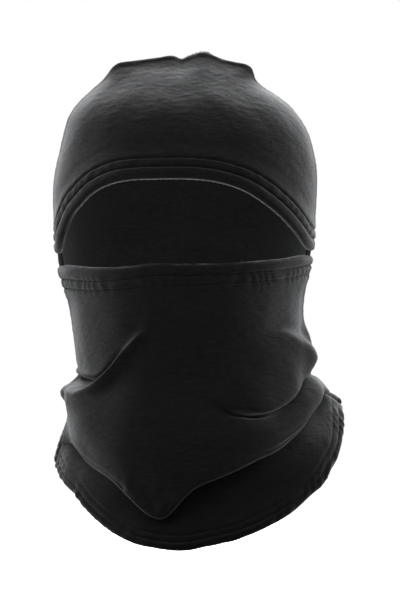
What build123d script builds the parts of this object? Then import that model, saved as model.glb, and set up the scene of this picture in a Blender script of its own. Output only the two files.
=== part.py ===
from build123d import *
from collections import namedtuple
import math
import os

import numpy as np

# Fleece balaclava: a hood of three panels with an ear-to-ear crown seam, a face
# mask below the eye opening, and a flared neck.
# Millimetres, +Z up, the face looks along -Y, +X is the viewer's right.  The
# origin is on the head axis, level with the lowest point of the front hem.

# ---------------------------------------------------------------- dimensions
CLOTH = 3.0            # fleece thickness
HEM_OUT = 0.9          # how far a doubled hem stands proud outside
HEM_IN = 4.3           # how deep a doubled hem reaches inward
ROW_1 = 8.3            # first stitch row from a hem edge
ROW_2 = 15.2           # second stitch row, twin-needle gauge
BROW_HEM_W = ROW_2 + 1.6    # brow hem width
BROW_PANEL_EDGE = ROW_2 - 1.0    # single cloth starts here, inside the brow hem
MASK_HEM_W = 17.0      # mask top hem, edge to single cloth
NECK_HEM_W = 11.0      # neck hem, edge to single cloth
NECK_HEM_LAP = 2.0     # single cloth runs this far into the front neck hem
NECK_ROWS = (("lower", 4.5), ("upper", 8.8))    # neck stitch rows from the hem edge
SEAM_GAP = 0.15        # half gap between panels at a butted seam

TUNNEL_DEPTH = (0.9, 2.5)    # brow hem tunnel, below the cloth surface
TUNNEL_SPAN = (1.6, 7.0)     # brow hem tunnel, from the brow edge
ELASTIC_DEPTH_GAP = 0.3      # elastic to tunnel, through the cloth
ELASTIC_EDGE_GAP = 0.4       # elastic to tunnel, across its width
ELASTIC_END_Y = -1.5         # the elastic stops here at each side

THREAD_R = 0.45        # coverstitch thread bundle radius
SEAM_R = 0.7           # seam thread bundle radius
CLEAR = 0.6            # thread bundles ride this far off the cloth
HEM_RIDE = HEM_OUT + THREAD_R + CLEAR
SEAM_RIDE = SEAM_R + CLEAR + 0.5
THROAT_RIDE = SEAM_R + CLEAR + 0.9
THREAD_END_Y = 1.2     # thread rows stop this far from the side seams

EXP_FRONT = 2.1        # section fullness, front half
EXP_BACK = 2.2         # section fullness, back half
SECTION_POINTS = 28

CAVITY_TOP = 350.0     # above this the crown is two cloths face to face
HEM_BODY_TOP = 344.0   # top of the head bodies that the brow hem is cut from
CROWN_BEND_Z = 303.0   # the crown seam leans back from here ...
CROWN_LEAN_TOP = 350.0    # ... up to here
CROWN_RIDGE_Y = 6.5    # y of the crown seam above the lean

# Cutting bodies reach well past the cloth
CUT_DEPTH = 500.0
CUT_REACH = 200.0
CUT_BOTTOM = -50.0
CUT_TOP = 420.0

# Head shell: z, left, right, front, back, y of the side seam
HEAD_STATIONS = [
    (60.0, -79.0, 93.0, -86.0, 74.0, 0.0),
    (80.0, -78.0, 91.0, -88.0, 69.5, 0.0),
    (100.0, -77.0, 89.0, -91.0, 66.0, 0.0),
    (120.0, -76.2, 87.5, -93.5, 64.5, 0.0),
    (140.0, -77.2, 86.0, -96.0, 67.0, 0.0),
    (160.0, -79.5, 85.5, -98.5, 73.5, 0.0),
    (180.0, -83.5, 87.0, -100.5, 83.5, 0.0),
    (200.0, -88.5, 91.0, -101.5, 94.0, 0.0),
    (220.0, -91.3, 93.5, -101.5, 101.0, 0.0),
    (242.0, -93.4, 95.6, -100.0, 104.0, 0.0),
    (262.0, -93.4, 96.3, -96.5, 103.0, 0.0),
    (280.0, -90.5, 95.0, -90.0, 98.5, 0.0),
    (298.0, -86.0, 91.0, -80.0, 90.5, 0.0),
    (313.0, -81.0, 82.0, -66.5, 79.0, 1.0),
    (326.0, -72.0, 69.5, -49.5, 64.5, 2.8),
    (336.0, -61.5, 55.5, -31.0, 46.5, 4.3),
    (344.0, -53.0, 51.0, -14.5, 28.5, 5.7),
    (350.0, -46.0, 43.0, -3.6, 16.6, 6.4),
    (354.5, -30.0, 32.0, 1.8, 11.2, 6.6),
    (358.0, -12.0, 24.0, 3.3, 9.9, 6.6),
]

# Mask and front drape: z, left, right, front (only the front half is used)
MASK_STATIONS = [
    (14.0, -56.0, 58.0, -105.5),
    (30.0, -66.0, 70.0, -108.5),
    (45.0, -74.0, 82.0, -110.0),
    (60.0, -79.0, 90.5, -110.0),
    (75.0, -81.5, 96.0, -108.5),
    (90.0, -82.8, 99.0, -106.0),
    (104.0, -83.6, 100.0, -103.0),
    (116.0, -81.5, 98.5, -100.0),
    (128.0, -77.5, 97.0, -98.5),
    (140.0, -77.2, 95.0, -99.5),
    (155.0, -79.2, 89.8, -101.5),
    (170.0, -81.0, 86.6, -103.5),
    (185.0, -83.4, 86.4, -104.5),
    (198.0, -86.8, 89.0, -104.5),
    (208.0, -89.0, 90.8, -103.8),
    (218.0, -90.2, 92.2, -103.0),
]
MASK_FILLER_BACK = 60.0     # closes the unused back half of the mask sections

# Neck piece, in a frame tilted up to the back and to the right.  Its axes are
# p (to the right), q (to the back) and w (along the frame normal).
NECK_ORIGIN = (9.0, -12.0, 49.0)
NECK_SLOPE_X = 0.167
NECK_SLOPE_Y = 0.482
NECK_CENTRE_P = 9.0
NECK_FILLER = 100.0    # closes the unused half of the neck sections
# w, left, right, front
NECK_FRONT_STATIONS = [
    (-6.0, -107.0, 123.0, -115.5),
    (2.0, -105.0, 121.0, -108.5),
    (12.0, -102.0, 118.5, -98.0),
    (20.0, -99.0, 115.0, -89.5),
    (26.0, -95.0, 108.5, -83.5),
    (32.0, -85.5, 98.0, -77.0),
    (38.0, -76.9, 89.0, -71.2),
    (44.0, -73.6, 85.0, -65.8),
    (52.0, -72.0, 82.5, -59.5),
    (60.0, -70.0, 80.5, -53.2),
]
# w, left, right, back
NECK_BACK_STATIONS = [
    (-6.0, -107.0, 123.0, 113.0),
    (2.0, -105.0, 121.0, 106.5),
    (12.0, -102.0, 118.5, 100.5),
    (20.0, -99.5, 116.0, 98.8),
    (26.0, -98.0, 113.0, 98.8),
    (32.0, -95.8, 109.0, 100.3),
    (40.0, -91.5, 101.5, 104.5),
    (46.0, -86.5, 94.5, 108.0),
    (52.0, -80.5, 88.5, 111.5),
    (60.0, -74.0, 84.0, 119.5),
]

# Front-view curves (x, z), all running from left to right
BROW_EDGE = [
    (-98.0, 205.5), (-90.5, 207.0), (-87.0, 213.0), (-84.5, 224.0), (-77.3, 238.0),
    (-71.5, 247.0), (-64.8, 254.8), (-52.5, 262.8), (-36.0, 265.8), (-18.5, 266.6),
    (-2.7, 266.7), (12.3, 266.0), (28.0, 263.5), (44.7, 257.6), (59.2, 247.8),
    (71.8, 236.0), (81.6, 222.8), (86.0, 216.0), (91.0, 213.4), (100.0, 212.6),
]
MASK_EDGE = [
    (-100.0, 203.8), (-87.7, 203.6), (-69.0, 202.2), (-37.0, 203.4), (-24.0, 205.2),
    (-2.0, 204.9), (30.0, 205.5), (55.0, 207.0), (77.4, 209.0), (88.0, 211.0), (100.0, 211.4),
]
DRAPE_EDGE = [
    (-100.0, 92.0), (-82.0, 84.0), (-70.0, 62.0), (-52.0, 50.0), (-33.0, 34.0),
    (-15.0, 29.0), (2.0, 38.0), (25.0, 51.5), (54.0, 65.5), (74.0, 76.0),
    (88.0, 92.0), (98.0, 108.0), (112.0, 116.0),
]
FRONT_HEM_EDGE = [
    (-125.0, 72.0), (-108.0, 66.0), (-93.0, 57.0), (-80.0, 40.0), (-60.0, 18.0),
    (-40.0, 6.5), (-20.0, 1.2), (0.0, 0.0), (20.0, 2.6), (40.0, 8.3), (60.0, 16.7),
    (80.0, 28.0), (97.0, 45.0), (108.0, 62.0), (115.0, 79.0), (121.0, 94.0), (135.0, 104.0),
]
# Back hem in the neck frame (p, w)
BACK_HEM_EDGE = [
    (-140.0, 32.0), (-99.5, 18.5), (-60.0, 8.0), (-25.0, 3.0), (10.0, 2.0),
    (60.0, 7.0), (114.0, 21.5), (150.0, 34.0),
]


# -------------------------------------------------------------------- curves
def hermite(xs, ys, x):
    """Smooth interpolation of ys over increasing xs."""
    xs, ys, x = np.asarray(xs, float), np.asarray(ys, float), np.asarray(x, float)
    steps = np.diff(xs)
    slopes = np.diff(ys) / steps
    tangents = np.empty_like(ys)
    tangents[0], tangents[-1] = slopes[0], slopes[-1]
    tangents[1:-1] = ((slopes[:-1] * steps[1:] + slopes[1:] * steps[:-1])
                      / (steps[:-1] + steps[1:]))
    i = np.clip(np.searchsorted(xs, x) - 1, 0, len(xs) - 2)
    step = xs[i + 1] - xs[i]
    t = (x - xs[i]) / step
    return ((2 * t**3 - 3 * t**2 + 1) * ys[i]
            + (t**3 - 2 * t**2 + t) * step * tangents[i]
            + (-2 * t**3 + 3 * t**2) * ys[i + 1]
            + (t**3 - t**2) * step * tangents[i + 1])


def arc_lengths(points):
    """Distance along a polyline to each of its points."""
    return np.concatenate([[0], np.cumsum(np.linalg.norm(np.diff(points, axis=0), axis=1))])


def dense(points, samples=120):
    """Smooth curve through the points, sampled along its length."""
    points = np.array(points, float)
    lengths = arc_lengths(points)
    at = np.linspace(lengths[0], lengths[-1], samples)
    return np.stack([hermite(lengths, column, at) for column in points.T], 1)


def even(points, count):
    """Evenly spaced points along a polyline."""
    points = np.array(points, float)
    lengths = arc_lengths(points)
    return [tuple(float(np.interp(at, lengths, column)) for column in points.T)
            for at in np.linspace(0, lengths[-1], count)]


def lifted(points, amount, samples=21):
    """Planar curve moved by amount to the left of its direction."""
    x, z = dense(points, 400).T
    dx, dz = np.gradient(x), np.gradient(z)
    length = np.hypot(dx, dz)
    moved_x, moved_z = x - amount * dz / length, z + amount * dx / length
    # Points that fold back towards the curve in tight bends are dropped
    nearest = np.hypot(moved_x[:, None] - x[None], moved_z[:, None] - z[None]).min(axis=1)
    keep = nearest > 0.985 * abs(amount)
    return even(np.stack([moved_x[keep], moved_z[keep]], 1), samples)


def shifted(points, dz):
    """Curve moved along its second coordinate."""
    return [(x, z + dz) for x, z in points]


def offset_profile(heights, radii, distance, at):
    """Radius at heights `at` of a profile moved by distance along its normal."""
    fine_h = np.linspace(heights[0], heights[-1], 600)
    fine_r = hermite(heights, radii, fine_h)
    dr, dh = np.gradient(fine_r), np.gradient(fine_h)
    length = np.hypot(dr, dh)
    h, r = fine_h - distance * dr / length, fine_r + distance * dh / length
    keep = np.concatenate([[True], np.diff(np.maximum.accumulate(h)) > 1e-6])
    h, r = h[keep], r[keep]
    below = r[0] + (at - h[0]) * (r[1] - r[0]) / (h[1] - h[0])
    above = r[-1] + (at - h[-1]) * (r[-1] - r[-2]) / (h[-1] - h[-2])
    return np.where(at < h[0], below, np.where(at > h[-1], above, np.interp(at, h, r)))


# -------------------------------------------------------------------- shells
# Section limits along the plane's axes; y0 is where its front and back halves meet
Section = namedtuple("Section", "height left right front back y0")


def section_point(azimuth, section, x0):
    """Point of a section at an azimuth (0 is the front, positive to the right)."""
    sine, cosine = math.sin(azimuth), math.cos(azimuth)
    exponent = 2 / (EXP_FRONT if cosine > 0 else EXP_BACK)
    radius_x = (section.right - x0) if sine > 0 else (x0 - section.left)
    radius_y = (section.y0 - section.front) if cosine > 0 else (section.back - section.y0)
    return (x0 + math.copysign(abs(sine) ** exponent, sine) * radius_x,
            section.y0 - math.copysign(abs(cosine) ** exponent, cosine) * radius_y)


class Shell:
    """Cloth surface through stations (height, left, right, front, back)."""

    def __init__(self, stations, plane, y0_at, x0=0.0):
        self.stations = np.array(stations)
        self.plane = plane
        self.y0_at = y0_at
        self.x0 = x0

    def sections(self, distance, heights):
        """Sections of the surface moved outward by distance, at the heights."""
        at = np.asarray(heights, float)
        base, left, right, front, back = self.stations.T
        left = -offset_profile(base, -left, distance, at)
        right = offset_profile(base, right, distance, at)
        front = -offset_profile(base, -front, distance, at)
        back = offset_profile(base, back, distance, at)
        return [Section(*(float(v) for v in row), self.y0_at(float(row[0])))
                for row in zip(at, left, right, front, back)]

    def section(self, distance, height):
        return self.sections(distance, [height])[0]

    def solid(self, distance, top=math.inf):
        """Solid inside the surface moved outward by distance, up to station top."""
        heights = [float(h) for h in self.stations[:, 0] if h <= top]
        with BuildPart() as body:
            for section in self.sections(distance, heights):
                with BuildSketch(self.plane.offset(section.height)):
                    with BuildLine():
                        Spline([section_point(2 * math.pi * k / SECTION_POINTS, section, self.x0)
                                for k in range(SECTION_POINTS)], periodic=True)
                    make_face()
            loft()
        return body.part


def head_y0(z):
    return float(hermite([s[0] for s in HEAD_STATIONS], [s[5] for s in HEAD_STATIONS], z))


def mask_y0(_):
    return 0.0


def neck_y0(w):
    return 12.0 + 0.53 * w


NECK_PLANE = Plane(origin=NECK_ORIGIN, x_dir=(1.0, 0.0, NECK_SLOPE_X),
                   z_dir=(-NECK_SLOPE_X, -NECK_SLOPE_Y, 1.0))

HEAD = Shell([s[:5] for s in HEAD_STATIONS], Plane.XY, head_y0)
MASK = Shell([s + (MASK_FILLER_BACK,) for s in MASK_STATIONS], Plane.XY, mask_y0)
NECK_FRONT = Shell([s + (NECK_FILLER,) for s in NECK_FRONT_STATIONS],
                   NECK_PLANE, neck_y0, NECK_CENTRE_P)
NECK_BACK = Shell([s[:3] + (-NECK_FILLER, s[3]) for s in NECK_BACK_STATIONS],
                  NECK_PLANE, neck_y0, NECK_CENTRE_P)


# ------------------------------------------------------------ cutting bodies
FRONT_VIEW = Plane(origin=(0, CUT_DEPTH / 2, 0), x_dir=(1, 0, 0), z_dir=(0, -1, 0))
# Looks along q from the front, so its second axis is -w
NECK_VIEW = Plane(origin=NECK_PLANE.origin - NECK_PLANE.y_dir * (CUT_DEPTH / 2),
                  x_dir=NECK_PLANE.x_dir, z_dir=NECK_PLANE.y_dir)


def prism(points, far, plane=FRONT_VIEW):
    """Prism between a smooth curve and a straight edge at second coordinate far."""
    with BuildPart() as body:
        with BuildSketch(plane):
            with BuildLine():
                Spline(points)
                Polyline(points[-1], (points[-1][0], far), (points[0][0], far), points[0])
            make_face()
        extrude(amount=CUT_DEPTH)
    return body.part


def neck_prism(points, far_w):
    """Prism along q, between a (p, w) curve and height far_w."""
    return prism([(p, -w) for p, w in points], -far_w, NECK_VIEW)


def band(low, high):
    """Prism between two front-view curves that run the same way."""
    with BuildPart() as body:
        with BuildSketch(FRONT_VIEW):
            with BuildLine():
                Spline(low)
                Line(low[-1], high[-1])
                Spline(list(reversed(high)))
                Line(high[0], low[0])
            make_face()
        extrude(amount=CUT_DEPTH)
    return body.part


def crown_side(side):
    """Everything in front of (side -1) or behind (side 1) the crown seam."""
    gap = side * SEAM_GAP
    far = side * CUT_REACH
    ridge = CROWN_RIDGE_Y + gap
    with BuildPart() as body:
        with BuildSketch(Plane.YZ.offset(-CUT_DEPTH / 2)):
            with BuildLine():
                Polyline([(far, CUT_BOTTOM), (gap, CUT_BOTTOM), (gap, CROWN_BEND_Z),
                          (ridge, CROWN_LEAN_TOP), (ridge, CUT_TOP), (far, CUT_TOP)], close=True)
            make_face()
        extrude(amount=CUT_DEPTH)
    return body.part


def slab(x_range, y_range, z_range):
    """Plain block between the given limits."""
    (x0, x1), (y0, y1) = x_range, y_range
    with BuildPart() as body:
        with BuildSketch(Plane.XY.offset(z_range[0])):
            with BuildLine():
                Polyline((x0, y0), (x1, y0), (x1, y1), (x0, y1), close=True)
            make_face()
        extrude(amount=z_range[1] - z_range[0])
    return body.part


def front_slab(back_y):
    """Everything in front of back_y."""
    return slab((-CUT_REACH, CUT_REACH), (-CUT_REACH, back_y), (CUT_BOTTOM, CUT_TOP))


def layer(outer, inner, *limits):
    """Cloth between two bodies, kept only inside each of the limits."""
    with BuildPart() as body:
        add(outer)
        add(inner, mode=Mode.SUBTRACT)
        for limit in limits:
            add(limit, mode=Mode.INTERSECT)
    return body.part


def hem(shell, *limits, top=math.inf):
    """Doubled cloth on a shell, kept only inside each of the limits."""
    return layer(shell.solid(HEM_OUT, top), shell.solid(-HEM_IN, top), *limits)


def export_piece(part, label):
    part.label = label
    export_step(part, f"parts/{label}.step")


os.makedirs("parts", exist_ok=True)

head_out = HEAD.solid(0.0)
head_in = HEAD.solid(-CLOTH, top=CAVITY_TOP)
front_half = front_slab(-SEAM_GAP)
mask_hem_line = shifted(MASK_EDGE, -MASK_HEM_W)


# -------------------------------------------------------------- cloth pieces
def brow_strip(depth, span, *limits):
    """Layer of the head cloth between two depths, and two distances from the brow edge."""
    return layer(HEAD.solid(-depth[0], top=HEM_BODY_TOP),
                 HEAD.solid(-depth[1], top=HEM_BODY_TOP),
                 band(lifted(BROW_EDGE, span[0]), lifted(BROW_EDGE, span[1])),
                 *limits)


def hood_front_panel():
    """Forehead and crown, with the doubled brow hem and its elastic tunnel."""
    tunnel = brow_strip(TUNNEL_DEPTH, TUNNEL_SPAN, front_half)
    brow_hem = hem(HEAD, front_half, band(BROW_EDGE, lifted(BROW_EDGE, BROW_HEM_W)),
                   top=HEM_BODY_TOP)
    with BuildPart() as panel:
        add(head_out)
        add(head_in, mode=Mode.SUBTRACT)
        add(crown_side(-1), mode=Mode.INTERSECT)
        add(prism(lifted(BROW_EDGE, BROW_PANEL_EDGE), CUT_TOP), mode=Mode.INTERSECT)
        add(brow_hem)
        add(tunnel, mode=Mode.SUBTRACT)
    return panel.part


def brow_hem_elastic():
    """Elastic lying in the brow hem tunnel."""
    depth = (TUNNEL_DEPTH[0] + ELASTIC_DEPTH_GAP, TUNNEL_DEPTH[1] - ELASTIC_DEPTH_GAP)
    span = (TUNNEL_SPAN[0] + ELASTIC_EDGE_GAP, TUNNEL_SPAN[1] - ELASTIC_EDGE_GAP)
    return brow_strip(depth, span, front_slab(ELASTIC_END_Y))


def back_shell():
    """Back of the hood and neck in one, before the centre-back seam splits it."""
    crown_back = crown_side(1)
    above_hem_edge = neck_prism(BACK_HEM_EDGE, 300.0)
    with BuildPart() as inside:
        add(head_in)
        add(NECK_BACK.solid(-CLOTH))
    back_hem = hem(NECK_BACK, above_hem_edge,
                   neck_prism(shifted(BACK_HEM_EDGE, NECK_HEM_W), -300.0), crown_back)
    with BuildPart() as shell:
        add(head_out)
        add(NECK_BACK.solid(0.0))
        add(inside.part, mode=Mode.SUBTRACT)
        add(crown_back, mode=Mode.INTERSECT)
        add(above_hem_edge, mode=Mode.INTERSECT)
        add(back_hem)
    return shell.part


def hood_back_panel(shell, x_range):
    """One side of the back shell."""
    with BuildPart() as panel:
        add(shell)
        add(slab(x_range, (-250, 250), (-60, 430)), mode=Mode.INTERSECT)
    return panel.part


def face_mask_panel():
    """Single cloth from below the mask top hem down to the drape edge."""
    return layer(MASK.solid(0.0), MASK.solid(-CLOTH), front_half,
                 prism(shifted(mask_hem_line, -SEAM_GAP), -60.0),
                 prism(DRAPE_EDGE, CUT_TOP))


def mask_top_hem():
    """Doubled band across the nose."""
    return hem(MASK, front_half, band(shifted(mask_hem_line, SEAM_GAP), MASK_EDGE))


def neck_front_panel():
    """Bib under the drape, with its doubled hem."""
    front_hem = hem(NECK_FRONT, front_half,
                    band(FRONT_HEM_EDGE, lifted(FRONT_HEM_EDGE, NECK_HEM_W)))
    with BuildPart() as panel:
        add(NECK_FRONT.solid(0.0))
        add(NECK_FRONT.solid(-CLOTH), mode=Mode.SUBTRACT)
        add(front_half, mode=Mode.INTERSECT)
        add(prism(lifted(FRONT_HEM_EDGE, NECK_HEM_W - NECK_HEM_LAP), CUT_TOP),
            mode=Mode.INTERSECT)
        add(front_hem)
    return panel.part


def care_label():
    """Blank care label inside the nape."""
    with BuildPart() as body:
        with BuildSketch(Plane.XY.offset(106.0)):
            with Locations((0, 59.4)):
                Rectangle(24.0, 0.5)
        extrude(amount=30.0)
    return body.part


export_piece(hood_front_panel(), "hood_front_panel")
export_piece(brow_hem_elastic(), "brow_hem_elastic")
whole_back = back_shell()
export_piece(hood_back_panel(whole_back, (-250, -SEAM_GAP)), "hood_back_left_panel")
export_piece(hood_back_panel(whole_back, (SEAM_GAP, 250)), "hood_back_right_panel")
export_piece(face_mask_panel(), "face_mask_panel")
export_piece(mask_top_hem(), "mask_top_hem")
export_piece(neck_front_panel(), "neck_front_panel")
export_piece(care_label(), "care_label")


# ------------------------------------------------------------------- threads
def cord(points, radius):
    """Round thread bundle swept along a smooth path."""
    with BuildPart() as body:
        with BuildLine() as path:
            Spline(points)
        with BuildSketch(Plane(origin=path.line @ 0, z_dir=path.line % 0)):
            Circle(radius)
        sweep()
    return body.part


def export_cord(label, *paths, radius=THREAD_R):
    """One piece of round thread bundles, each swept along its own path."""
    with BuildPart() as body:
        for points in paths:
            add(cord(points, radius))
    export_piece(body.part, label)


def front_row(shell, curve):
    """Stitch row: a front-view curve laid on the front face of a shell's hem."""
    points = []
    for x, z in dense(curve):
        section = shell.section(HEM_RIDE, z)
        reach = abs(x) / (section.right if x > 0 else -section.left)
        if reach >= 1:
            continue
        fullness = (1 - reach**EXP_FRONT) ** (1 / EXP_FRONT)
        y = section.y0 - (section.y0 - section.front) * fullness
        if y < -THREAD_END_Y:
            points.append((x, y, z))
    return even(points, 26)


def on_neck(shell, azimuth, w, distance):
    """Frame coordinate p and world point of a neck shell at an azimuth and height w."""
    p, q = section_point(azimuth, shell.section(distance, w), shell.x0)
    origin, p_axis, q_axis, w_axis = (
        np.array(tuple(v))
        for v in (NECK_PLANE.origin, NECK_PLANE.x_dir, NECK_PLANE.y_dir, NECK_PLANE.z_dir))
    return p, origin + p_axis * p + q_axis * q + w_axis * w


def neck_row(shell, start, steps, heights, miss):
    """Points round half the neck hem, at the height where miss is least.

    The row spans 176 degrees from the start azimuth, in the given steps.
    """
    points = []
    for k in range(steps + 1):
        azimuth = math.radians(start + 176 * k / steps)
        tries = [(float(w), *on_neck(shell, azimuth, float(w), HEM_RIDE)) for w in heights]
        points.append(min(tries, key=miss)[2])
    return points


def neck_front_row(lift):
    """Front hem row: where the neck shell meets the lifted hem curve."""
    curve = np.array(lifted(FRONT_HEM_EDGE, lift, 160))

    def miss(candidate):
        x, _, z = candidate[2]
        return abs(z - float(np.interp(x, curve[:, 0], curve[:, 1])))

    points = neck_row(NECK_FRONT, -88, 48, np.linspace(-5, 40, 91), miss)
    return even([point for point in points if point[1] < -THREAD_END_Y], 22)


def neck_back_row(lift):
    """Back hem row, measured in the tilted neck frame."""
    edge = np.array(BACK_HEM_EDGE)

    def miss(candidate):
        w, p, _ = candidate
        return abs(w - (float(hermite(edge[:, 0], edge[:, 1], p)) + lift))

    points = neck_row(NECK_BACK, 92, 60, np.linspace(-2, 45, 95), miss)
    return even([point for point in points if point[1] > THREAD_END_Y], 22)


# Two coverstitch rows each along the brow hem, the mask top hem and the neck hem
for name, lift in (("inner", ROW_1), ("outer", ROW_2)):
    export_cord(f"brow_hem_stitch_{name}", front_row(HEAD, lifted(BROW_EDGE, lift, 60)))
for name, drop in (("upper", ROW_1), ("lower", ROW_2 - 0.5)):
    export_cord(f"mask_hem_stitch_{name}", front_row(MASK, shifted(MASK_EDGE, -drop)))
for name, lift in NECK_ROWS:
    export_cord(f"neck_hem_stitch_{name}", neck_front_row(lift), neck_back_row(lift))


def crown_seam():
    """Runs up the left side, along the ridge and down the right side.

    The runs stop short of the two tight ridge corners.
    """
    left_run, right_run = [], []
    for z in (214.0, 224.0, 236.0, 250.0, 264.0, 278.0, 290.0, 301.0, 311.0, 320.0, 328.0, 335.0):
        ride = 2.0 + 0.3 * min(1.0, max(0.0, (z - 320.0) / 20.0))
        section = HEAD.section(ride, z)
        left_run.append((section.left, section.y0, z))
        right_run.append((section.right, section.y0, z))
    # x, z of the ridge run
    ridge = [(-31.0, 356.8), (-20.0, 359.0), (-8.0, 360.2), (6.0, 360.6),
             (17.0, 360.6), (25.0, 360.0), (31.5, 357.4)]
    ridge_run = [(x, 6.6, z) for x, z in ridge]
    return even(left_run, 14), even(ridge_run, 8), even(right_run[::-1], 14)


def centre_back_seam():
    """Path from the crown to the neck hem, in the plane x = 0."""
    heights = [345, 338, 330, 320, 308, 294, 278, 260, 240, 220, 200, 180, 162, 148]
    path = [(0.0, section.back, section.height) for section in HEAD.sections(SEAM_RIDE, heights)]
    for w in (30.0, 25.0, 20.0, 17.0):
        tries = [on_neck(NECK_BACK, math.radians(180 + turn), w, SEAM_RIDE)[1]
                 for turn in np.linspace(-14, 14, 113)]
        _, y, z = min(tries, key=lambda point: abs(point[0]))
        path.append((0.0, y, z))
    return even(path, 30)


def side_seam(side):
    """Path from below the eye corner down to where the neck flares."""
    points = []
    for z in (181.0, 170.0, 158.0, 148.0, 140.0, 132.0, 124.0):
        head, mask = HEAD.section(SEAM_RIDE, z), MASK.section(SEAM_RIDE, z)
        x = min(head.left, mask.left) if side == "left" else max(head.right, mask.right)
        points.append((x, 0.0, z))
    return even(points, 12)


def throat_seam():
    """Path across the front near the top of the neck front panel."""
    return even([on_neck(NECK_FRONT, math.radians(-66 + 132 * k / 32), 57.0, THROAT_RIDE)[1]
                 for k in range(33)], 20)


def corner_bartack(side):
    """Stack of short threads at an eye-opening corner, behind the side seam."""
    with BuildPart() as bartack:
        for k in range(9):
            z = 191.0 + 1.5 * k
            section = HEAD.section(THREAD_R + CLEAR, z)
            x = section.left if side == "left" else section.right
            with BuildSketch(Plane(origin=(x, 0.3, z), x_dir=(1, 0, 0), z_dir=(0, 1, 0))):
                Circle(THREAD_R)
            extrude(amount=4.2)
    return bartack.part


export_cord("crown_seam_thread", *crown_seam(), radius=SEAM_R)
export_cord("centre_back_seam_thread", centre_back_seam(), radius=SEAM_R)
for side in ("left", "right"):
    export_cord(f"{side}_side_seam_thread", side_seam(side), radius=SEAM_R)
    export_piece(corner_bartack(side), f"{side}_corner_bartack")
export_cord("throat_seam_thread", throat_seam(), radius=SEAM_R)
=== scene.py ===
"""Black fleece balaclava standing on its neck hem: hood, face mask and neck front.

Shapes are given in millimetres and built in metres; stage, lights and camera are in metres.
The face looks along -Y, left is -X, right is +X, and z runs up from the lowest point of the hem.
Azimuths go round the head: 0 front, 90 right, 180 back, 270 or -90 left.
"""
import math
from collections import namedtuple

import bpy
import mathutils
import numpy as np
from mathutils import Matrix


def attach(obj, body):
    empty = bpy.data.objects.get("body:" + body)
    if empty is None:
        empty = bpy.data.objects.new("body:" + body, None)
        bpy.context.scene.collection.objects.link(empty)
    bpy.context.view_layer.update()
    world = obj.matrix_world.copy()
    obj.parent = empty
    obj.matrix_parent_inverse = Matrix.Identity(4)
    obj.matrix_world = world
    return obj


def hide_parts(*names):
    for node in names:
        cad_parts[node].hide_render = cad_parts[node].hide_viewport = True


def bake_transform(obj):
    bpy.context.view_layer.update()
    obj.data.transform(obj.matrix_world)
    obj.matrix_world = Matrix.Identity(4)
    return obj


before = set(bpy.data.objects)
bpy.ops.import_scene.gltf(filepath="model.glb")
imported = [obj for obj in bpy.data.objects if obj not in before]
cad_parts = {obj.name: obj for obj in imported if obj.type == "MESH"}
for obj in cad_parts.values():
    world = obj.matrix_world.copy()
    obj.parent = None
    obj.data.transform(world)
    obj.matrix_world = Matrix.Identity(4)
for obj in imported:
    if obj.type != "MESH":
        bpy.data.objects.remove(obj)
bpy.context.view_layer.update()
RNG = np.random.default_rng(7)
MM = 0.001

# ------------------------------------------------------------------ head and mask sections
# z, left x, right x, front y, back y, y of the side and crown seam
HEAD = np.array([
    (60, -79, 93, -86, 74, 0), (80, -78, 91, -88, 69.5, 0), (100, -77, 89, -91, 66, 0),
    (120, -76.2, 87.5, -93.5, 64.5, 0), (140, -77.2, 86.5, -96, 67, 0),
    (160, -79.5, 86, -98.5, 73.5, 0), (180, -83.5, 87.5, -100.5, 83.5, 0),
    (200, -88.5, 91, -101.5, 94, 0), (212, -90.3, 91.8, -101.5, 98, 0),
    (225, -92, 94, -101, 102, 0), (243, -93.5, 95.7, -100, 104, 0),
    (262, -93.5, 96.4, -96.5, 103, 0), (278, -91, 95.5, -91, 99, 0),
    (290, -88.3, 93.3, -85, 94.5, 0), (301, -85.6, 89.8, -78, 89, 0.3),
    (312, -82, 83.3, -68, 80, 1.2), (320, -77, 76.5, -58.5, 72, 2.3),
    (327, -70.5, 67.5, -48.5, 62.5, 3.2), (333, -64, 58.2, -38, 52, 4.2),
    (338, -58.5, 53, -28.5, 42, 5), (343, -54.3, 51.3, -18.5, 32, 5.8),
    (347, -51.2, 49.7, -9.5, 22.5, 6.3), (350.5, -46, 43, -3, 16, 6.5),
    (353.2, -36, 33, 1.5, 11.5, 6.6), (355.3, -22, 24, 4.2, 9, 6.6),
    (356.6, -6, 20, 5.9, 7.3, 6.6),
], float)
Z_TOP = HEAD[-1, 0]
Z_FINE = 300.0                  # head columns are sampled more finely above this
POWER_FRONT, POWER_BACK = 2.1, 2.2    # superellipse powers of the front and back halves

# Mask before its folds: z, left x, right x, front y
MASK = np.array([
    (14, -57, 58, -106), (30, -66, 70, -107.8), (45, -73, 81, -109.2), (60, -77, 88, -109.3),
    (75, -79.5, 91, -108), (90, -80, 91, -104.5), (104, -79, 89.5, -101), (116, -77, 88, -99),
    (128, -76, 87, -98.5), (140, -77.3, 86.5, -99.5), (155, -79, 86, -101.8),
    (170, -81, 86, -103.8), (185, -83.6, 87.2, -104.8), (195, -86.2, 89.3, -104.8),
    (204, -88.5, 91, -104.3), (218, -91, 93, -103.3),
], float)

# ------------------------------------------------------------------ tilted neck frame
# Neck coordinates: p to the right, q to the back, w up along the tilted neck
NECK_ORIGIN = np.array((9.0, -12.0, 49.0))
LEAN_X, LEAN_Y = 0.167, 0.482
NECK_MID_P = 9.0
NECK_MID_Q, NECK_MID_Q_RISE = 12.0, 0.53     # q of the section middle at w = 0, and its rise per w
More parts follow.
